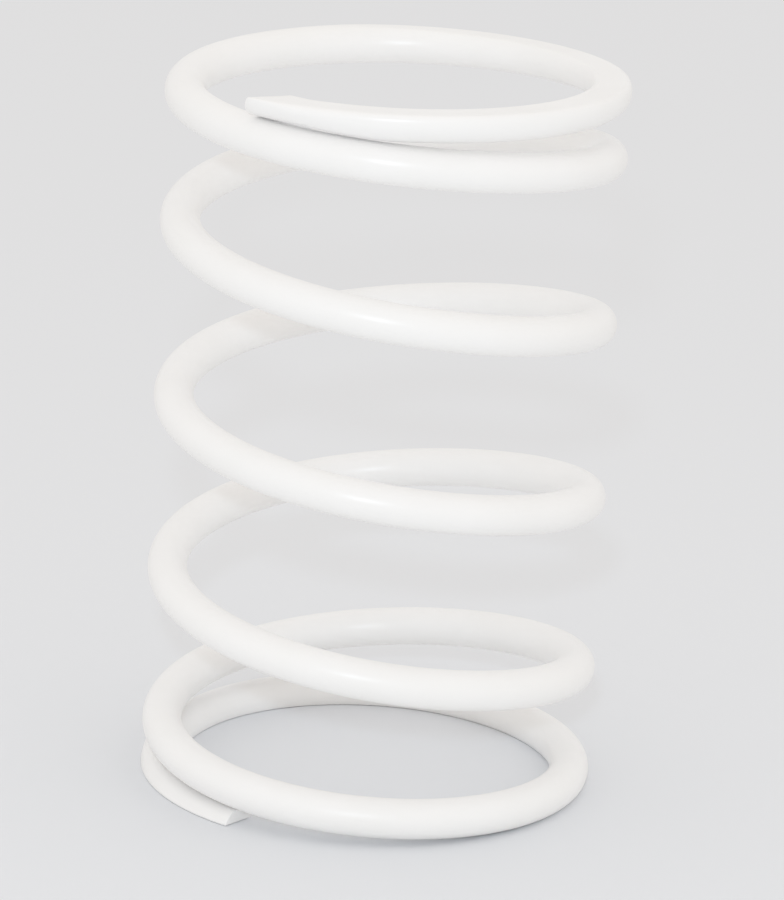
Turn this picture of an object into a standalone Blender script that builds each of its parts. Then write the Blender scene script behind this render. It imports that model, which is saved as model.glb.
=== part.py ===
"""Variator spring: a compression spring of round steel wire, painted white.

It is wound left-handed from one length of wire. Each end coil is closed against its neighbour, and
then ground flat, so the spring stands square on its lower end and a spring seat or a pulley face
bears on its upper end.

The axis is +Z. The origin is the middle of the lower ground face, and the photographed side faces -Y.
"""
import math

import bmesh
import bpy
from mathutils import Matrix, Vector

# Wire and coil, in metres
OUTSIDE_DIAMETER = 0.0600
WIRE_DIAMETER = 0.0052
FREE_LENGTH = 0.0959

# Winding. Turns are counted along the wire from its lower tip.
TOTAL_TURNS = 6.0
LOWER_TIP_AZIMUTH = math.radians(234.5)

# Closed ends. An end coil keeps a low, even pitch over its closed turns, and the pitch then opens
# smoothly over the opening turns until it is the active pitch.
LOWER_CLOSED_TURNS = 0.30
LOWER_OPENING_TURNS = 1.50
UPPER_CLOSED_TURNS = 0.10
UPPER_OPENING_TURNS = 1.90

# Tips. A tip is bent along the coil that it closes against, so the wire climbs by the tip rise over
# the tip turns, on top of its pitch. The shear leaves a tip's outer side longer than its inner side,
# and the lean leaves the underside of the upper tip longer than its ground side.
LOWER_TIP_RISE = 0.0017
LOWER_TIP_TURNS = 0.30
LOWER_SHEAR_ANGLE = math.radians(-5.0)
UPPER_TIP_RISE = 0.0010
UPPER_TIP_TURNS = 0.10
UPPER_SHEAR_ANGLE = math.radians(30.0)
UPPER_LEAN_ANGLE = math.radians(30.0)
TIP_CLEARANCE = 0.0002

# Ground ends: what the grinding leaves of the wire at each tip
LOWER_TIP_THICKNESS = 0.0018
UPPER_TIP_THICKNESS = 0.0027

# Facets
POINTS_PER_TURN = 56
WIRE_SIDES = 16
WELD_DISTANCE = 0.000001
TANGENT_STEP = 0.001  # turns

# How far a grinding block reaches past the coil and the wire
BLOCK_MARGIN = 0.0050

WHITE_PAINT = (0.88, 0.88, 0.88, 1.0)
PAINT_ROUGHNESS = 0.32

WIRE_RADIUS = WIRE_DIAMETER / 2
COIL_RADIUS = OUTSIDE_DIAMETER / 2 - WIRE_RADIUS


def eased(part):
    """A smooth step from 0 to 1."""
    inside = min(max(part, 0.0), 1.0)
    return inside * inside * (3 - 2 * inside)


def eased_total(part):
    """The integral of the smooth step from 0."""
    inside = min(max(part, 0.0), 1.0)
    return inside**3 - inside**4 / 2 + max(part - 1.0, 0.0)


def open_turns(turns, closed_turns, opening_turns):
    """How many turns of active pitch the wire has gained over the turns counted from an end."""
    return opening_turns * eased_total((turns - closed_turns) / opening_turns)


def solve_pitches():
    """Active pitch and the two closed pitches, in metres for each turn.

    Each end coil rises by one wire and the tip clearance in its first full turn, and the whole wire
    rises from its lower tip to its upper tip.
    """
    wire_rise = FREE_LENGTH - LOWER_TIP_THICKNESS - UPPER_TIP_THICKNESS + WIRE_DIAMETER
    wire_rise -= LOWER_TIP_RISE + UPPER_TIP_RISE
    active_turns = -TOTAL_TURNS
    shut_rise = 0.0
    first_turns = []
    for closed, opening, tip_rise in (
        (LOWER_CLOSED_TURNS, LOWER_OPENING_TURNS, LOWER_TIP_RISE),
        (UPPER_CLOSED_TURNS, UPPER_OPENING_TURNS, UPPER_TIP_RISE),
    ):
        first_open = open_turns(1.0, closed, opening)
        first_rise = WIRE_DIAMETER + TIP_CLEARANCE - tip_rise
        wire_open = open_turns(TOTAL_TURNS, closed, opening)
        shut_turns = (TOTAL_TURNS - wire_open) / (1.0 - first_open)
        active_turns += wire_open - shut_turns * first_open
        shut_rise += shut_turns * first_rise
        first_turns.append((first_open, first_rise))
    active = (wire_rise - shut_rise) / active_turns
    lower, upper = ((rise - active * share) / (1.0 - share) for share, rise in first_turns)
    return active, lower, upper


ACTIVE_PITCH, LOWER_CLOSED_PITCH, UPPER_CLOSED_PITCH = solve_pitches()


def height_lost(turns, closed_pitch, closed_turns, opening_turns):
    """How far a closed end holds the wire back over the turns counted from that end."""
    shut_turns = turns - open_turns(turns, closed_turns, opening_turns)
    return (ACTIVE_PITCH - closed_pitch) * shut_turns


def lost_below(turns):
    return height_lost(turns, LOWER_CLOSED_PITCH, LOWER_CLOSED_TURNS, LOWER_OPENING_TURNS)


def lost_above(turns):
    return height_lost(turns, UPPER_CLOSED_PITCH, UPPER_CLOSED_TURNS, UPPER_OPENING_TURNS)


def wire_height(turn):
    """Height of the wire's centre line, that many turns from its lower tip."""
    from_top = TOTAL_TURNS - turn
    height = LOWER_TIP_THICKNESS - WIRE_RADIUS + ACTIVE_PITCH * turn
    height -= lost_below(turn) + lost_above(TOTAL_TURNS) - lost_above(from_top)
    height += LOWER_TIP_RISE * eased(turn / LOWER_TIP_TURNS)
    height += UPPER_TIP_RISE * (1.0 - eased(from_top / UPPER_TIP_TURNS))
    return height


def wire_point(turn):
    """Point of the centre line. A left-hand coil runs clockwise, seen from above, as it rises."""
    azimuth = LOWER_TIP_AZIMUTH - 2 * math.pi * turn
    return Vector((COIL_RADIUS * math.cos(azimuth), COIL_RADIUS * math.sin(azimuth), wire_height(turn)))


def make_paint():
    """White powder coat: a non-metal with a soft gloss."""
    paint = bpy.data.materials.new("white_powder_coat")
    paint.use_nodes = True
    shader = paint.node_tree.nodes["Principled BSDF"]
    shader.inputs["Base Color"].default_value = WHITE_PAINT
    shader.inputs["Roughness"].default_value = PAINT_ROUGHNESS
    shader.inputs["Metallic"].default_value = 0.0
    paint.diffuse_color = WHITE_PAINT
    return paint


def make_coiled_wire():
    """The wire as wound, before its tips are sheared and its ends are ground."""
    curve = bpy.data.curves.new("coiled_wire", "CURVE")
    curve.dimensions = "3D"
    curve.twist_mode = "Z_UP"
    curve.bevel_depth = WIRE_RADIUS
    curve.bevel_resolution = WIRE_SIDES // 2 - 2
    curve.use_fill_caps = True
    steps = round(TOTAL_TURNS * POINTS_PER_TURN)
    spline = curve.splines.new("POLY")
    spline.points.add(steps)
    for index, point in enumerate(spline.points):
        point.co = (*wire_point(TOTAL_TURNS * index / steps), 1.0)
    wire = bpy.data.objects.new("coiled_wire", curve)
    bpy.context.collection.objects.link(wire)
    return wire


def shear_tip(ring, turn, shear_angle, lean_angle):
    """Slides the ring of points round a tip along the wire, so its cut face leans by the angles."""
    centre = wire_point(turn)
    radial = Vector((centre.x, centre.y, 0.0)).normalized()
    inside = min(max(turn, TANGENT_STEP), TOTAL_TURNS - TANGENT_STEP)
    along = (wire_point(inside + TANGENT_STEP) - wire_point(inside - TANGENT_STEP)).normalized()
    outwards = along if turn > 0.0 else -along
    for vert in ring:
        offset = (vert.co - centre).dot(radial)
        depth = centre.z - vert.co.z
        vert.co += outwards * (offset * math.tan(shear_angle) + depth * math.tan(lean_angle))


def make_spring_blank(collection):
    """Turns the coiled wire into one closed mesh and shears its two tips."""
    wire = make_coiled_wire()
    evaluated = wire.evaluated_get(bpy.context.evaluated_depsgraph_get())
    mesh = bpy.data.meshes.new_from_object(evaluated)
    mesh.name = "spring"
    solid = bmesh.new()
    solid.from_mesh(mesh)
    bmesh.ops.remove_doubles(solid, verts=solid.verts, dist=WELD_DISTANCE)
    capped = {vert for face in solid.faces if len(face.verts) == 3 for vert in face.verts}
    rings = sorted(capped, key=lambda vert: vert.co.z)
    shear_tip(rings[:WIRE_SIDES], 0.0, LOWER_SHEAR_ANGLE, 0.0)
    shear_tip(rings[WIRE_SIDES:], TOTAL_TURNS, UPPER_SHEAR_ANGLE, UPPER_LEAN_ANGLE)
    bmesh.ops.recalc_face_normals(solid, faces=solid.faces)
    solid.to_mesh(mesh)
    solid.free()
    spring = bpy.data.objects.new("spring", mesh)
    spring.matrix_world = wire.matrix_world
    bpy.data.objects.remove(wire)
    collection.objects.link(spring)
    return spring


def make_grinding_block(name, height, side, collection):
    """A block whose face lies in a ground plane: side is 1 above the spring and -1 below it."""
    width = OUTSIDE_DIAMETER + 2 * BLOCK_MARGIN
    depth = WIRE_DIAMETER + BLOCK_MARGIN
    mesh = bpy.data.meshes.new(name)
    block = bmesh.new()
    bmesh.ops.create_cube(block, size=1.0, matrix=Matrix.Diagonal((width, width, depth, 1.0)))
    block.to_mesh(mesh)
    block.free()
    cutter = bpy.data.objects.new(name, mesh)
    cutter.location = (0.0, 0.0, height + side * depth / 2)
    cutter.hide_render = True
    cutter.display_type = "WIRE"
    collection.objects.link(cutter)
    return cutter


def grind(spring, cutter):
    """Takes away what the block covers."""
    cut = spring.modifiers.new(cutter.name, "BOOLEAN")
    cut.operation = "DIFFERENCE"
    cut.solver = "EXACT"
    cut.object = cutter


def new_collection(name):
    collection = bpy.data.collections.new(name)
    bpy.context.scene.collection.children.link(collection)
    return collection


for old in list(bpy.data.objects):
    bpy.data.objects.remove(old, do_unlink=True)

parts = new_collection("variator_spring")
cutters = new_collection("grinding_blocks")
spring = make_spring_blank(parts)
spring.data.materials.clear()
spring.data.materials.append(make_paint())
grind(spring, make_grinding_block("lower_grinding_block", 0.0, -1, cutters))
grind(spring, make_grinding_block("upper_grinding_block", FREE_LENGTH, 1, cutters))
spring.data.shade_smooth()
spring.data.set_sharp_from_angle(angle=math.radians(40.0))
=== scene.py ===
"""The looks of the variator spring: its fine wire, its powder coat, and the studio it stands in.

Everything is in metres in the part's own frame: +Z up, and the photographed side faces -Y.
"""
import math

import bpy
from mathutils import Matrix, Vector


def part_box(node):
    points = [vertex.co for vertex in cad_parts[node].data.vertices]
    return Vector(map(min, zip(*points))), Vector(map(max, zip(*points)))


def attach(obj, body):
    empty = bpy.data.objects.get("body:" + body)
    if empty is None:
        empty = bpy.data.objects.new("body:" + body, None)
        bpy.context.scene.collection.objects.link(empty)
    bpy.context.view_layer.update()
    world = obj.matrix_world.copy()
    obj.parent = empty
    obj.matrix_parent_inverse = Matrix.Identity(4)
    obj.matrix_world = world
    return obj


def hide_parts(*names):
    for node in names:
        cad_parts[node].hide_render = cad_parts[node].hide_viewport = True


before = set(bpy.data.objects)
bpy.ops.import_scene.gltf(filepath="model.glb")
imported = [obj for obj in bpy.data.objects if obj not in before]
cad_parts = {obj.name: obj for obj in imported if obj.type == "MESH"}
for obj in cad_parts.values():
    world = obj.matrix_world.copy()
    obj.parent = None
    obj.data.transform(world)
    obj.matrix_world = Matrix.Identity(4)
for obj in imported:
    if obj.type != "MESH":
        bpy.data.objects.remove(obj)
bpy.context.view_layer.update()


# The spring is one length of hard-drawn round steel wire. It is coiled left-handed on a mandrel
# with its end coils closed, its tips are sheared, and both ends are ground flat and square.
# The powder coat that goes on last rounds every cut edge a little.
WIRE_RADIUS = 0.0026
COIL_RADIUS = 0.0274
FREE_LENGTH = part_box("spring")[1].z
TOTAL_TURNS = 6.0
LOWER_TIP_AZIMUTH = math.radians(234.5)
LOWER_CLOSED_TURNS = 0.30
LOWER_OPENING_TURNS = 1.50
LOWER_TIP_RISE = 0.0017
LOWER_TIP_TURNS = 0.30
LOWER_TIP_THICKNESS = 0.0018
LOWER_SHEAR_ANGLE = math.radians(-5.0)
UPPER_CLOSED_TURNS = 0.10
UPPER_OPENING_TURNS = 1.90
UPPER_TIP_RISE = 0.0010
UPPER_TIP_TURNS = 0.10
UPPER_TIP_THICKNESS = 0.0027
UPPER_SHEAR_ANGLE = math.radians(30.0)
UPPER_LEAN_ANGLE = math.radians(30.0)
TIP_CLEARANCE = 0.0002
TIP_EDGE_RADIUS = 0.00018
LOWER_FACE_EDGE_RADIUS = 0.00018
UPPER_FACE_EDGE_RADIUS = 0.00080
EDGE_OPENING_LENGTH = 0.0060
SHEAR_LENGTH = 0.0040
WELD_DISTANCE = 0.000001

# The fine mesh: rings along the wire, and the steps up one side of a ring from its lowest point.
# The wire's own faces have three or four corners, and the two tip faces have many more.
RINGS_PER_TURN = 160
TIP_RINGS = 5
FACE_STEPS = 4
EDGE_STEPS = 4
ROUND_STEPS = 32
SIDE_STEPS = FACE_STEPS + EDGE_STEPS + ROUND_STEPS + EDGE_STEPS + FACE_STEPS
FACE_ROW_POWER = 3.0  # draws the rows on a ground face towards its edges
MOST_WIRE_FACE_CORNERS = 4
QUARTER_TURN = math.pi / 2


def open_turns(turns, closed_turns, opening_turns):
    """How many turns of active pitch the wire has gained over the turns counted from an end."""
    part = (turns - closed_turns) / opening_turns
    inside = min(max(part, 0.0), 1.0)
    return opening_turns * (inside**3 - inside**4 / 2 + max(part - 1.0, 0.0))


def solve_pitches():
    """Active pitch and the two closed pitches: each end coil rises by one wire in its first turn."""
    wire_rise = FREE_LENGTH - LOWER_TIP_THICKNESS - UPPER_TIP_THICKNESS + 2 * WIRE_RADIUS
    wire_rise -= LOWER_TIP_RISE + UPPER_TIP_RISE
    active_turns = -TOTAL_TURNS
    shut_rise = 0.0
    first_turns = []
    for closed, opening, tip_rise in (
        (LOWER_CLOSED_TURNS, LOWER_OPENING_TURNS, LOWER_TIP_RISE),
        (UPPER_CLOSED_TURNS, UPPER_OPENING_TURNS, UPPER_TIP_RISE),
    ):
        first_open = open_turns(1.0, closed, opening)
        first_rise = 2 * WIRE_RADIUS + TIP_CLEARANCE - tip_rise
        wire_open = open_turns(TOTAL_TURNS, closed, opening)
        shut_turns = (TOTAL_TURNS - wire_open) / (1.0 - first_open)
        active_turns += wire_open - shut_turns * first_open
        shut_rise += shut_turns * first_rise
        first_turns.append((first_open, first_rise))
    active = (wire_rise - shut_rise) / active_turns
    lower, upper = ((rise - active * share) / (1.0 - share) for share, rise in first_turns)
    return active, lower, upper


def add_node(tree, kind, inputs=(), output=0, **settings):
    """Adds a node with its settings, fills its inputs with values or links, and gives one output."""
    node = tree.nodes.new(kind)
    for name, value in settings.items():
        setattr(node, name, value)
    for place, value in inputs.items() if isinstance(inputs, dict) else enumerate(inputs):
        if isinstance(value, bpy.types.NodeSocket):
            tree.links.new(value, node.inputs[place])
        else:
            node.inputs[place].default_value = value
    return node.outputs[output] if node.outputs else node


def make_closed_end_group():
    """Node group: how far a closed end holds the wire back over the turns counted from that end."""
    group = bpy.data.node_groups.new("closed_end", "GeometryNodeTree")
    for name in ("Turns", "Closed Turns", "Opening Turns", "Pitch Held Back"):
        group.interface.new_socket(name, in_out="INPUT", socket_type="NodeSocketFloat")
    group.interface.new_socket("Height Lost", in_out="OUTPUT", socket_type="NodeSocketFloat")
    given = group.nodes.new("NodeGroupInput").outputs
    past = add_node(group, "ShaderNodeMath", (given["Turns"], given["Closed Turns"]), operation="SUBTRACT")
    part = add_node(group, "ShaderNodeMath", (past, given["Opening Turns"]), operation="DIVIDE")
    inside = add_node(group, "ShaderNodeClamp", (part, 0.0, 1.0))

    # The integral of a smooth step is its cube, less half its fourth power
    cube = add_node(group, "ShaderNodeMath", (inside, 3.0), operation="POWER")
    easing = add_node(group, "ShaderNodeMath", (inside, -0.5, 1.0), operation="MULTIPLY_ADD")
    eased = add_node(group, "ShaderNodeMath", (cube, easing), operation="MULTIPLY")
    past_opening = add_node(group, "ShaderNodeMath", (part, 1.0), operation="SUBTRACT")
    beyond = add_node(group, "ShaderNodeMath", (past_opening, 0.0), operation="MAXIMUM")
    share = add_node(group, "ShaderNodeMath", (eased, beyond), operation="ADD")
    opened = add_node(group, "ShaderNodeMath", (share, given["Opening Turns"]), operation="MULTIPLY")
    shut = add_node(group, "ShaderNodeMath", (given["Turns"], opened), operation="SUBTRACT")
    lost = add_node(group, "ShaderNodeMath", (shut, given["Pitch Held Back"]), operation="MULTIPLY")
    add_node(group, "NodeGroupOutput", (lost,))
    return group


def space_rings(tree, given, edge_turns):
    """A rail with one point for each ring of the mesh, and a few close ones at each tip."""
    turns = given["Turns"]
    rings = add_node(tree, "ShaderNodeMath", (turns, given["Rings Per Turn"]), operation="MULTIPLY")
    last = add_node(tree, "ShaderNodeMath", (given["Tip Rings"], 2.0, rings), operation="MULTIPLY_ADD")
    count = add_node(tree, "ShaderNodeMath", (last, 1.0), operation="ADD")
    line = add_node(tree, "GeometryNodeCurvePrimitiveLine")
    rail = add_node(tree, "GeometryNodeResampleCurve", {"Curve": line, "Count": count})
    index = add_node(tree, "GeometryNodeInputIndex")
    to_last = add_node(tree, "ShaderNodeMath", (last, index), operation="SUBTRACT")
    from_tip_ring = add_node(tree, "ShaderNodeMath", (last, given["Tip Rings"]), operation="SUBTRACT")
    to_edge = add_node(tree, "ShaderNodeMath", (turns, edge_turns), operation="SUBTRACT")
    even = add_node(
        tree, "ShaderNodeMapRange", (index, given["Tip Rings"], from_tip_ring, edge_turns, to_edge)
    )
    tip_angles = (0.0, given["Tip Rings"], 0.0, QUARTER_TURN)
    lower_angle = add_node(tree, "ShaderNodeMapRange", (index, *tip_angles))
    upper_angle = add_node(tree, "ShaderNodeMapRange", (to_last, *tip_angles))
    lower_share = add_node(tree, "ShaderNodeMath", (lower_angle,), operation="COSINE")
    upper_share = add_node(tree, "ShaderNodeMath", (upper_angle,), operation="COSINE")
    tip_share = add_node(tree, "ShaderNodeMath", (upper_share, lower_share), operation="SUBTRACT")
    turn = add_node(tree, "ShaderNodeMath", (tip_share, edge_turns, even), operation="MULTIPLY_ADD")
    return add_node(
        tree, "GeometryNodeStoreNamedAttribute", {"Geometry": rail, "Name": "turn", "Value": turn}
    )


def climb_wire(tree, given, turn, from_top):
    """Height of the wire's centre line, with its pitch held back at the closed ends."""
    pitch = given["Active Pitch"]
    held_below = add_node(
        tree, "ShaderNodeMath", (pitch, given["Lower Closed Pitch"]), operation="SUBTRACT"
    )
    held_above = add_node(
        tree, "ShaderNodeMath", (pitch, given["Upper Closed Pitch"]), operation="SUBTRACT"
    )
    lower_end = (given["Lower Closed Turns"], given["Lower Opening Turns"], held_below)
    upper_end = (given["Upper Closed Turns"], given["Upper Opening Turns"], held_above)
    closed_end = make_closed_end_group()
    lost_below = add_node(tree, "GeometryNodeGroup", (turn, *lower_end), node_tree=closed_end)
    lost_above = add_node(tree, "GeometryNodeGroup", (from_top, *upper_end), node_tree=closed_end)
    lost_in_all = add_node(tree, "GeometryNodeGroup", (given["Turns"], *upper_end), node_tree=closed_end)
    start = add_node(
        tree, "ShaderNodeMath", (given["Lower Tip Thickness"], given["Wire Radius"]), operation="SUBTRACT"
    )
    climb = add_node(tree, "ShaderNodeMath", (turn, pitch, start), operation="MULTIPLY_ADD")
    climb = add_node(tree, "ShaderNodeMath", (climb, lost_below), operation="SUBTRACT")
    climb = add_node(tree, "ShaderNodeMath", (climb, lost_in_all), operation="SUBTRACT")
    climb = add_node(tree, "ShaderNodeMath", (climb, lost_above), operation="ADD")
    lower_rise = add_node(
        tree,
        "ShaderNodeMapRange",
        (turn, 0.0, given["Lower Tip Turns"], 0.0, given["Lower Tip Rise"]),
        interpolation_type="SMOOTHSTEP",
    )
    upper_rise = add_node(
        tree,
        "ShaderNodeMapRange",
        (from_top, 0.0, given["Upper Tip Turns"], given["Upper Tip Rise"], 0.0),
        interpolation_type="SMOOTHSTEP",
    )
    climb = add_node(tree, "ShaderNodeMath", (climb, lower_rise), operation="ADD")
    return add_node(tree, "ShaderNodeMath", (climb, upper_rise), operation="ADD")


def wind_rail(tree, given, rail, turn, climb):
    """Sets the rail on the centre line, which runs clockwise, seen from above, as it rises."""
    azimuth = add_node(
        tree, "ShaderNodeMath", (turn, -2 * math.pi, given["Lower Tip Azimuth"]), operation="MULTIPLY_ADD"
    )
    cosine = add_node(tree, "ShaderNodeMath", (azimuth,), operation="COSINE")
    sine = add_node(tree, "ShaderNodeMath", (azimuth,), operation="SINE")
    rail_x = add_node(tree, "ShaderNodeMath", (cosine, given["Coil Radius"]), operation="MULTIPLY")
    rail_y = add_node(tree, "ShaderNodeMath", (sine, given["Coil Radius"]), operation="MULTIPLY")
    rail_place = add_node(tree, "ShaderNodeCombineXYZ", (rail_x, rail_y, climb))
    rail = add_node(tree, "GeometryNodeSetPosition", {"Geometry": rail, "Position": rail_place})
    position = add_node(tree, "GeometryNodeInputPosition")
    tangent = add_node(tree, "GeometryNodeInputTangent")
    for name, value in (("centre", position), ("along", tangent)):
        rail = add_node(
            tree,
            "GeometryNodeStoreNamedAttribute",
            {"Geometry": rail, "Name": name, "Value": value},
            data_type="FLOAT_VECTOR",
        )
    return rail


def sweep_rings(tree, rail):
    """Sweeps a plain circle along the rail. The points of each ring count their steps round the wire."""
    ring = add_node(tree, "GeometryNodeCurvePrimitiveCircle", {"Resolution": 2 * SIDE_STEPS})
    index = add_node(tree, "GeometryNodeInputIndex")
    ring = add_node(
        tree, "GeometryNodeStoreNamedAttribute", {"Geometry": ring, "Name": "step", "Value": index}
    )
    return add_node(
        tree, "GeometryNodeCurveToMesh", {"Curve": rail, "Profile Curve": ring, "Fill Caps": True}
    )


def round_edges(tree, given, turn, from_top, tip_distance, coil_length):
    """Radius of the cut edges: crisp, but the upper ground face's soften over a little way from its tip."""
    opening_turns = add_node(
        tree, "ShaderNodeMath", (given["Edge Opening Length"], coil_length), operation="DIVIDE"
    )
    in_upper_half = add_node(tree, "ShaderNodeMath", (turn, from_top), operation="GREATER_THAN")
    face_edges = (given["Lower Face Edge Radius"], given["Upper Face Edge Radius"])
    face_edge = add_node(tree, "ShaderNodeMapRange", (in_upper_half, 0.0, 1.0, *face_edges))
    return add_node(
        tree,
        "ShaderNodeMapRange",
        (tip_distance, 0.0, opening_turns, given["Tip Edge Radius"], face_edge),
        interpolation_type="SMOOTHSTEP",
    )


def round_tips(tree, edge, tip_distance, edge_turns):
    """The edge radius as it fades out at the two tips, which rounds the cut faces as well."""
    from_tip = add_node(tree, "ShaderNodeMapRange", (tip_distance, 0.0, edge_turns, 1.0, 0.0))
    from_tip = add_node(tree, "ShaderNodeMath", (from_tip, 2.0), operation="POWER")
    roundness = add_node(tree, "ShaderNodeMath", (1.0, from_tip), operation="SUBTRACT")
    roundness = add_node(tree, "ShaderNodeMath", (roundness,), operation="SQRT")
    return add_node(tree, "ShaderNodeMath", (roundness, edge), operation="MULTIPLY")


def grind_rings(tree, given, height, lift, edge, skin):
    """How far out and up each point of a ring lies, once the ground faces have cut the round wire."""
    headroom = add_node(tree, "ShaderNodeMath", (given["Free Length"], height), operation="SUBTRACT")
    to_floor = add_node(tree, "ShaderNodeMath", (height, lift), operation="DIVIDE")
    to_top = add_node(tree, "ShaderNodeMath", (headroom, lift), operation="DIVIDE")

    # Where the ground faces cut the round wire, as angles up its inner circle, inside the edge radius
    inner = add_node(tree, "ShaderNodeMath", (given["Wire Radius"], edge), operation="SUBTRACT")
    lower_cut = add_node(tree, "ShaderNodeMath", (edge, to_floor), operation="SUBTRACT")
    upper_cut = add_node(tree, "ShaderNodeMath", (to_top, edge), operation="SUBTRACT")
    lower_cut = add_node(tree, "ShaderNodeMath", (lower_cut, inner), operation="DIVIDE")
    upper_cut = add_node(tree, "ShaderNodeMath", (upper_cut, inner), operation="DIVIDE")
    lower_cut = add_node(tree, "ShaderNodeMath", (lower_cut, -1.0), operation="MAXIMUM")
    upper_cut = add_node(tree, "ShaderNodeMath", (upper_cut, 1.0), operation="MINIMUM")
    lowest = add_node(tree, "ShaderNodeMath", (lower_cut,), operation="ARCSINE")
    highest = add_node(tree, "ShaderNodeMath", (upper_cut,), operation="ARCSINE")

    # Steps up one side of the ring: lower face, lower edge, round wire, upper edge, upper face
    step = add_node(tree, "GeometryNodeInputNamedAttribute", ("step",))
    steps_up = add_node(tree, "ShaderNodeMath", (step, SIDE_STEPS), operation="PINGPONG")
    steps_left = add_node(tree, "ShaderNodeMath", (SIDE_STEPS, step), operation="SUBTRACT")
    side = add_node(tree, "ShaderNodeMath", (steps_left,), operation="SIGN")
    edge_start = FACE_STEPS
    round_start = edge_start + EDGE_STEPS
    round_end = round_start + ROUND_STEPS
    edge_end = round_end + EDGE_STEPS
    angle = add_node(tree, "ShaderNodeMapRange", (steps_up, round_start, round_end, lowest, highest))
    facing = add_node(
        tree, "ShaderNodeMapRange", (steps_up, edge_start, round_start, -QUARTER_TURN, angle)
    )
    facing = add_node(tree, "ShaderNodeMapRange", (steps_up, round_end, edge_end, facing, QUARTER_TURN))
    lower_face = add_node(tree, "ShaderNodeMapRange", (steps_up, 0.0, edge_start, 1.0, 0.0))
    upper_face = add_node(tree, "ShaderNodeMapRange", (steps_up, edge_end, SIDE_STEPS, 0.0, 1.0))
    from_edge = add_node(tree, "ShaderNodeMath", (lower_face, upper_face), operation="ADD")
    from_edge = add_node(tree, "ShaderNodeMath", (from_edge, FACE_ROW_POWER), operation="POWER")
    reach = add_node(tree, "ShaderNodeMath", (1.0, from_edge), operation="SUBTRACT")

    # Place of each point in its ring
    angle_cosine = add_node(tree, "ShaderNodeMath", (angle,), operation="COSINE")
    angle_sine = add_node(tree, "ShaderNodeMath", (angle,), operation="SINE")
    facing_cosine = add_node(tree, "ShaderNodeMath", (facing,), operation="COSINE")
    facing_sine = add_node(tree, "ShaderNodeMath", (facing,), operation="SINE")
    breadth = add_node(tree, "ShaderNodeMath", (angle_cosine, inner), operation="MULTIPLY")
    breadth = add_node(tree, "ShaderNodeMath", (breadth, reach), operation="MULTIPLY")
    breadth = add_node(tree, "ShaderNodeMath", (facing_cosine, skin, breadth), operation="MULTIPLY_ADD")
    out = add_node(tree, "ShaderNodeMath", (breadth, side), operation="MULTIPLY")
    up = add_node(tree, "ShaderNodeMath", (angle_sine, inner), operation="MULTIPLY")
    up = add_node(tree, "ShaderNodeMath", (facing_sine, skin, up), operation="MULTIPLY_ADD")
    return out, up


def shear_tips(tree, given, turn, from_top, coil_length, out, up):
    """How far each point slides along the wire, since a tip is sheared more on one side."""
    shear_turns = add_node(tree, "ShaderNodeMath", (given["Shear Length"], coil_length), operation="DIVIDE")
    lower_lean = add_node(tree, "ShaderNodeMath", (given["Lower Shear Angle"],), operation="TANGENT")
    upper_lean = add_node(tree, "ShaderNodeMath", (given["Upper Shear Angle"],), operation="TANGENT")
    lower_lean = add_node(tree, "ShaderNodeMapRange", (turn, 0.0, shear_turns, lower_lean, 0.0))
    upper_lean = add_node(tree, "ShaderNodeMapRange", (from_top, 0.0, shear_turns, upper_lean, 0.0))
    lean = add_node(tree, "ShaderNodeMath", (upper_lean, lower_lean), operation="SUBTRACT")
    slide = add_node(tree, "ShaderNodeMath", (out, lean), operation="MULTIPLY")
    under_lean = add_node(tree, "ShaderNodeMath", (given["Upper Lean Angle"],), operation="TANGENT")
    under_lean = add_node(tree, "ShaderNodeMapRange", (from_top, 0.0, shear_turns, under_lean, 0.0))
    under_slide = add_node(tree, "ShaderNodeMath", (up, under_lean), operation="MULTIPLY")
    return add_node(tree, "ShaderNodeMath", (slide, under_slide), operation="SUBTRACT")


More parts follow.
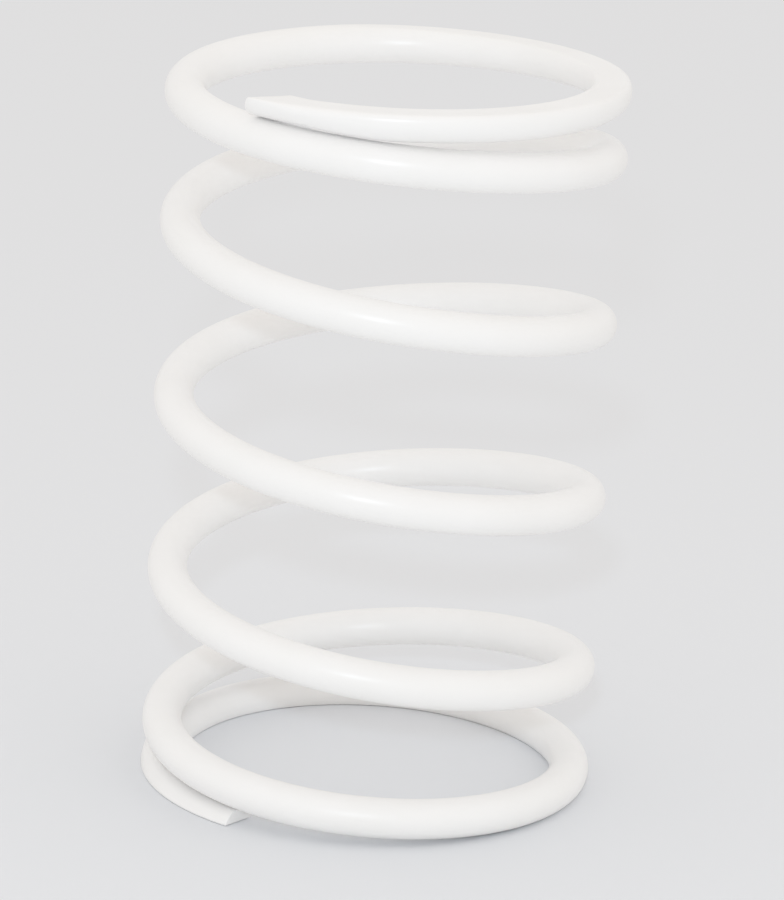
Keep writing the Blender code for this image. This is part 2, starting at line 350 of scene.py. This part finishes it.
def make_winding_tree(sizes):
    """Geometry Nodes tree that winds, shears and grinds the wire. Its inputs are named for the sizes."""
    tree = bpy.data.node_groups.new("wound_and_ground_wire", "GeometryNodeTree")
    tree.interface.new_socket("Geometry", in_out="OUTPUT", socket_type="NodeSocketGeometry")
    for name, value in sizes.items():
        kind = "NodeSocketInt" if isinstance(value, int) else "NodeSocketFloat"
        tree.interface.new_socket(name, in_out="INPUT", socket_type=kind)
    tree.interface.new_socket("Coat", in_out="INPUT", socket_type="NodeSocketMaterial")
    given = tree.nodes.new("NodeGroupInput").outputs

    # Places on the wire are counted in turns from its lower tip, so lengths along it become turns too
    turn = add_node(tree, "GeometryNodeInputNamedAttribute", ("turn",))
    from_top = add_node(tree, "ShaderNodeMath", (given["Turns"], turn), operation="SUBTRACT")
    tip_distance = add_node(tree, "ShaderNodeMath", (turn, from_top), operation="MINIMUM")
    coil_length = add_node(tree, "ShaderNodeMath", (given["Coil Radius"], 2 * math.pi), operation="MULTIPLY")
    edge_turns = add_node(tree, "ShaderNodeMath", (given["Tip Edge Radius"], coil_length), operation="DIVIDE")
    rail = space_rings(tree, given, edge_turns)
    rail = wind_rail(tree, given, rail, turn, climb_wire(tree, given, turn, from_top))
    wire = sweep_rings(tree, rail)

    # The ring's own directions: outwards from the spring's axis, and up across the wire
    centre = add_node(tree, "GeometryNodeInputNamedAttribute", ("centre",), data_type="FLOAT_VECTOR")
    along = add_node(tree, "GeometryNodeInputNamedAttribute", ("along",), data_type="FLOAT_VECTOR")
    flat = (1.0, 1.0, 0.0)
    outward = add_node(tree, "ShaderNodeVectorMath", (centre, flat), operation="MULTIPLY")
    outward = add_node(tree, "ShaderNodeVectorMath", (outward,), operation="NORMALIZE")
    upward = add_node(tree, "ShaderNodeVectorMath", (along, outward), operation="CROSS_PRODUCT")
    along_level = add_node(tree, "ShaderNodeVectorMath", (along, flat), operation="MULTIPLY")
    lift = add_node(tree, "ShaderNodeSeparateXYZ", (upward,), output="Z")
    height = add_node(tree, "ShaderNodeSeparateXYZ", (centre,), output="Z")

    # The plain rings are reshaped by the grinding and the shears
    edge = round_edges(tree, given, turn, from_top, tip_distance, coil_length)
    skin = round_tips(tree, edge, tip_distance, edge_turns)
    out, up = grind_rings(tree, given, height, lift, edge, skin)
    slide = shear_tips(tree, given, turn, from_top, coil_length, out, up)
    placed = centre
    for direction, distance in ((outward, out), (upward, up), (along_level, slide)):
        shift = add_node(
            tree, "ShaderNodeVectorMath", {"Vector": direction, "Scale": distance}, operation="SCALE"
        )
        placed = add_node(tree, "ShaderNodeVectorMath", (placed, shift), operation="ADD")
    wire = add_node(tree, "GeometryNodeSetPosition", {"Geometry": wire, "Position": placed})

    # Steps that lie on each other are welded, and only the two tip faces stay flat shaded
    wire = add_node(tree, "GeometryNodeMergeByDistance", {"Geometry": wire, "Distance": WELD_DISTANCE})
    corners = add_node(tree, "GeometryNodeInputMeshFaceNeighbors")
    few = add_node(
        tree, "ShaderNodeMath", (corners, MOST_WIRE_FACE_CORNERS + 0.5), operation="LESS_THAN"
    )
    wire = add_node(
        tree, "GeometryNodeSetShadeSmooth", {"Geometry": wire, "Shade Smooth": few}, domain="FACE"
    )
    for name in ("turn", "centre", "along", "step"):
        wire = add_node(tree, "GeometryNodeRemoveAttribute", {"Geometry": wire, "Name": name})
    wire = add_node(tree, "GeometryNodeRealizeInstances", {"Geometry": wire})
    wire = add_node(tree, "GeometryNodeSetMaterial", {"Geometry": wire, "Material": given["Coat"]})
    add_node(tree, "NodeGroupOutput", (wire,))
    return tree


# Powder coat on steel: polyester powder is sprayed on dry and baked to one thick, even skin.
# To the eye it is a clean soft white with a gentle orange peel, and a broad gloss that varies a
# little. It is a non-metal, and the steel under it never shows.
COAT_WHITE = "F8F7F7"
COAT_THIN_WHITE = "F3F2F1"
COAT_PATCH_WIDTH = 0.0090
COAT_PATCH_SPREAD = (0.3, 0.7)  # most of the patches' noise lies between these
COAT_IOR = 1.5
COAT_ROUGHNESS = (0.28, 0.37)
PEEL_WIDTH = 0.0013
PEEL_HEIGHT = 0.000012
GRAIN_WIDTH = 0.00035
GRAIN_HEIGHT = 0.0000015
GRINDING_LINE_WIDTH = 0.0006
GRINDING_LINE_LENGTH = 0.0200
GRINDING_LINE_HEIGHT = 0.000006
GROUND_FACE_DEPTH = 0.00003

# The places of a colour mix's sockets: the factor and the two colours, and the mixed colour
MIX_FACTOR = 0
FIRST_COLOUR = 6
SECOND_COLOUR = 7
MIXED_COLOUR = 2


def linear(hex_colour):
    """An sRGB hex colour as linear red, green, blue and alpha."""
    shares = [int(hex_colour[place : place + 2], 16) / 255 for place in (0, 2, 4)]
    return [s / 12.92 if s <= 0.04045 else ((s + 0.055) / 1.055) ** 2.4 for s in shares] + [1.0]


def make_powder_coat():
    """White powder coat, with faint grinding lines that show through it on the two ground faces."""
    coat = bpy.data.materials.new("white_powder_coat")
    coat.use_nodes = True
    tree = coat.node_tree
    shader = tree.nodes["Principled BSDF"]
    shader.inputs["IOR"].default_value = COAT_IOR
    place = add_node(tree, "ShaderNodeTexCoord", output="Object")

    # The coat lies a little thinner in broad patches, where it is duller and less white
    patches = add_node(
        tree, "ShaderNodeTexNoise", {"Vector": place, "Scale": 1 / COAT_PATCH_WIDTH, "Detail": 3.0}
    )
    colour = add_node(
        tree,
        "ShaderNodeMix",
        {MIX_FACTOR: patches, FIRST_COLOUR: linear(COAT_WHITE), SECOND_COLOUR: linear(COAT_THIN_WHITE)},
        output=MIXED_COLOUR,
        data_type="RGBA",
    )
    dullness = add_node(
        tree, "ShaderNodeMapRange", (patches, *COAT_PATCH_SPREAD, *COAT_ROUGHNESS)
    )
    tree.links.new(colour, shader.inputs["Base Color"])
    tree.links.new(dullness, shader.inputs["Roughness"])

    # Orange peel, and a finer grain on it
    peel = add_node(tree, "ShaderNodeTexNoise", {"Vector": place, "Scale": 1 / PEEL_WIDTH, "Detail": 1.0})
    grain = add_node(tree, "ShaderNodeTexNoise", {"Vector": place, "Scale": 1 / GRAIN_WIDTH, "Detail": 0.0})
    peel_height = add_node(tree, "ShaderNodeMath", (peel, PEEL_HEIGHT), operation="MULTIPLY")
    skin_height = add_node(
        tree, "ShaderNodeMath", (grain, GRAIN_HEIGHT, peel_height), operation="MULTIPLY_ADD"
    )

    # The wheel's lines run one way across each ground face, and nowhere else
    stretch = (1 / GRINDING_LINE_LENGTH, 1 / GRINDING_LINE_WIDTH, 1.0)
    across = add_node(tree, "ShaderNodeMapping", {"Vector": place, "Scale": stretch})
    lines = add_node(tree, "ShaderNodeTexNoise", {"Vector": across, "Scale": 1.0, "Detail": 2.0})
    height = add_node(tree, "ShaderNodeSeparateXYZ", (place,), output="Z")
    on_lower = add_node(tree, "ShaderNodeMath", (height, 0.0, GROUND_FACE_DEPTH), operation="COMPARE")
    on_upper = add_node(
        tree, "ShaderNodeMath", (height, FREE_LENGTH, GROUND_FACE_DEPTH), operation="COMPARE"
    )
    ground = add_node(tree, "ShaderNodeMath", (on_lower, on_upper), operation="MAXIMUM")
    line_height = add_node(tree, "ShaderNodeMath", (lines, GRINDING_LINE_HEIGHT), operation="MULTIPLY")
    total_height = add_node(
        tree, "ShaderNodeMath", (line_height, ground, skin_height), operation="MULTIPLY_ADD"
    )
    bump = add_node(tree, "ShaderNodeBump", {"Height": total_height, "Strength": 1.0, "Distance": 1.0})
    tree.links.new(bump, shader.inputs["Normal"])
    return coat


active_pitch, lower_closed_pitch, upper_closed_pitch = solve_pitches()
winding_sizes = {
    "Wire Radius": WIRE_RADIUS,
    "Coil Radius": COIL_RADIUS,
    "Free Length": FREE_LENGTH,
    "Turns": TOTAL_TURNS,
    "Active Pitch": active_pitch,
    "Lower Tip Azimuth": LOWER_TIP_AZIMUTH,
    "Lower Closed Turns": LOWER_CLOSED_TURNS,
    "Lower Opening Turns": LOWER_OPENING_TURNS,
    "Lower Closed Pitch": lower_closed_pitch,
    "Lower Tip Rise": LOWER_TIP_RISE,
    "Lower Tip Turns": LOWER_TIP_TURNS,
    "Lower Tip Thickness": LOWER_TIP_THICKNESS,
    "Lower Shear Angle": LOWER_SHEAR_ANGLE,
    "Upper Closed Turns": UPPER_CLOSED_TURNS,
    "Upper Opening Turns": UPPER_OPENING_TURNS,
    "Upper Closed Pitch": upper_closed_pitch,
    "Upper Tip Rise": UPPER_TIP_RISE,
    "Upper Tip Turns": UPPER_TIP_TURNS,
    "Upper Shear Angle": UPPER_SHEAR_ANGLE,
    "Upper Lean Angle": UPPER_LEAN_ANGLE,
    "Shear Length": SHEAR_LENGTH,
    "Tip Edge Radius": TIP_EDGE_RADIUS,
    "Lower Face Edge Radius": LOWER_FACE_EDGE_RADIUS,
    "Upper Face Edge Radius": UPPER_FACE_EDGE_RADIUS,
    "Edge Opening Length": EDGE_OPENING_LENGTH,
    "Rings Per Turn": RINGS_PER_TURN,
    "Tip Rings": TIP_RINGS,
}
winding_tree = make_winding_tree(winding_sizes)
blank = bpy.data.objects.new("wire_blank", bpy.data.meshes.new("wire_blank"))
bpy.context.collection.objects.link(blank)
winding = blank.modifiers.new("winding", "NODES")
winding.node_group = winding_tree
for socket in winding_tree.interface.items_tree:
    if socket.name in winding_sizes:
        winding[socket.identifier] = winding_sizes[socket.name]
    elif socket.name == "Coat":
        winding[socket.identifier] = make_powder_coat()
evaluated_blank = blank.evaluated_get(bpy.context.evaluated_depsgraph_get())
wire_mesh = bpy.data.meshes.new_from_object(evaluated_blank)
bpy.data.objects.remove(blank)
spring_wire = bpy.data.objects.new("spring_wire", wire_mesh)
bpy.context.collection.objects.link(spring_wire)
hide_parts("spring")
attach(spring_wire, "root")


# The floor is one sheet of matt paper, wide enough to fill the view, and it keeps the spring's shadow.
# It lights the spring's underside as white paper does. The camera and the gloss see it a little
# greyer, so that the white spring stands out from it.
FLOOR_RADIUS = 3.0
FLOOR_CORNERS = 96
FLOOR_DROP = 0.00005
FLOOR_WHITE = "EEF0F2"
FLOOR_SEEN_WHITE = "E7E9ED"


def find_seeing_rays(tree):
    """1 for a ray that the camera, a gloss or a clear piece sees by, and 0 for the light's own rays."""
    path = tree.nodes.new("ShaderNodeLightPath").outputs
    seen = add_node(tree, "ShaderNodeMath", (path["Is Camera Ray"], path["Is Glossy Ray"]), operation="ADD")
    return add_node(tree, "ShaderNodeMath", (seen, path["Is Transmission Ray"]), operation="ADD")


def make_floor():
    """A round pale floor, a hair below the spring's lower ground face."""
    bpy.ops.mesh.primitive_circle_add(
        vertices=FLOOR_CORNERS,
        radius=FLOOR_RADIUS,
        fill_type="NGON",
        location=(0.0, 0.0, -FLOOR_DROP),
    )
    floor = bpy.context.object
    floor.name = "paper_floor"
    paper = bpy.data.materials.new("matt_paper")
    paper.use_nodes = True
    tree = paper.node_tree
    tree.nodes.remove(tree.nodes["Principled BSDF"])
    output = tree.nodes["Material Output"]
    seen = find_seeing_rays(tree)
    white = add_node(
        tree,
        "ShaderNodeMix",
        {MIX_FACTOR: seen, FIRST_COLOUR: linear(FLOOR_WHITE), SECOND_COLOUR: linear(FLOOR_SEEN_WHITE)},
        output=MIXED_COLOUR,
        data_type="RGBA",
    )
    matt = add_node(tree, "ShaderNodeBsdfDiffuse", {"Color": white})
    tree.links.new(matt, output.inputs["Surface"])
    floor.data.materials.append(paper)


make_floor()


# The studio: an even, slightly warm room light, and one soft lamp just above the camera.
# The lamp is small enough for the front strands to cast clear shadows on the strands behind them.
ROOM_COLOUR = "FFFCF8"
ROOM_STRENGTH = 0.925
BACKDROP_COLOUR = "ECEDEE"
LAMP_COLOUR = "E3F2FF"
LAMP_DIRECTION = (math.radians(-1.4), math.radians(20.6))
LAMP_DISTANCE = 0.58
LAMP_SIZE = 0.02
LAMP_POWER = 0.46
SPRING_MIDDLE = Vector((0.0, 0.0, FREE_LENGTH / 2))


def make_room():
    """World light, which the camera and the gloss see as a plain pale backdrop."""
    world = bpy.data.worlds.new("pale_room")
    world.use_nodes = True
    bpy.context.scene.world = world
    tree = world.node_tree
    tree.nodes.clear()
    room = add_node(tree, "ShaderNodeBackground", (linear(ROOM_COLOUR), ROOM_STRENGTH))
    backdrop = add_node(tree, "ShaderNodeBackground", (linear(BACKDROP_COLOUR), 1.0))
    seen = find_seeing_rays(tree)
    mixed = add_node(tree, "ShaderNodeMixShader", (seen, room, backdrop))
    add_node(tree, "ShaderNodeOutputWorld", (mixed,))


def make_lamp():
    """A small round soft lamp, turned to the middle of the spring."""
    azimuth, elevation = LAMP_DIRECTION
    towards = Vector(
        (
            math.sin(azimuth) * math.cos(elevation),
            -math.cos(azimuth) * math.cos(elevation),
            math.sin(elevation),
        )
    )
    lamp = bpy.data.lights.new("soft_lamp", "AREA")
    lamp.shape = "DISK"
    lamp.size = LAMP_SIZE
    lamp.color = linear(LAMP_COLOUR)[:3]
    lamp.energy = LAMP_POWER
    holder = bpy.data.objects.new("soft_lamp", lamp)
    holder.location = SPRING_MIDDLE + towards * LAMP_DISTANCE
    holder.rotation_euler = (-towards).to_track_quat("-Z", "Y").to_euler()
    bpy.context.collection.objects.link(holder)


make_room()
make_lamp()


# The camera stands level with the photographed side, looks a little down, and leans slightly, so
# the spring's top leans to the right. Its lens is long: the far strands are hardly smaller.
CAMERA_TILT = math.radians(16.29)
CAMERA_LEAN = math.radians(2.93)
CAMERA_DISTANCE = 0.5827
CAMERA_AIM_RIGHT = 0.00129
CAMERA_AIM_DOWN = 0.00517
CAMERA_AIM_HEIGHT = 0.0500
CAMERA_LENS = 177.6
CAMERA_SENSOR = 36.0


def make_camera():
    """Places the camera by the point it aims at, given in the leaning picture's own directions."""
    turned = Matrix.Rotation(math.pi / 2 - CAMERA_TILT, 4, "X") @ Matrix.Rotation(CAMERA_LEAN, 4, "Z")
    right, above, behind = (turned.col[place].xyz for place in range(3))
    aim = Vector((0.0, 0.0, CAMERA_AIM_HEIGHT)) + right * CAMERA_AIM_RIGHT - above * CAMERA_AIM_DOWN
    lens = bpy.data.cameras.new("camera")
    lens.lens = CAMERA_LENS
    lens.sensor_width = CAMERA_SENSOR
    lens.clip_start = CAMERA_DISTANCE / 10
    camera = bpy.data.objects.new("camera", lens)
    camera.matrix_world = Matrix.Translation(aim + behind * CAMERA_DISTANCE) @ turned
    bpy.context.collection.objects.link(camera)
    bpy.context.scene.camera = camera


make_camera()
bpy.context.scene.view_settings.view_transform = "Standard"
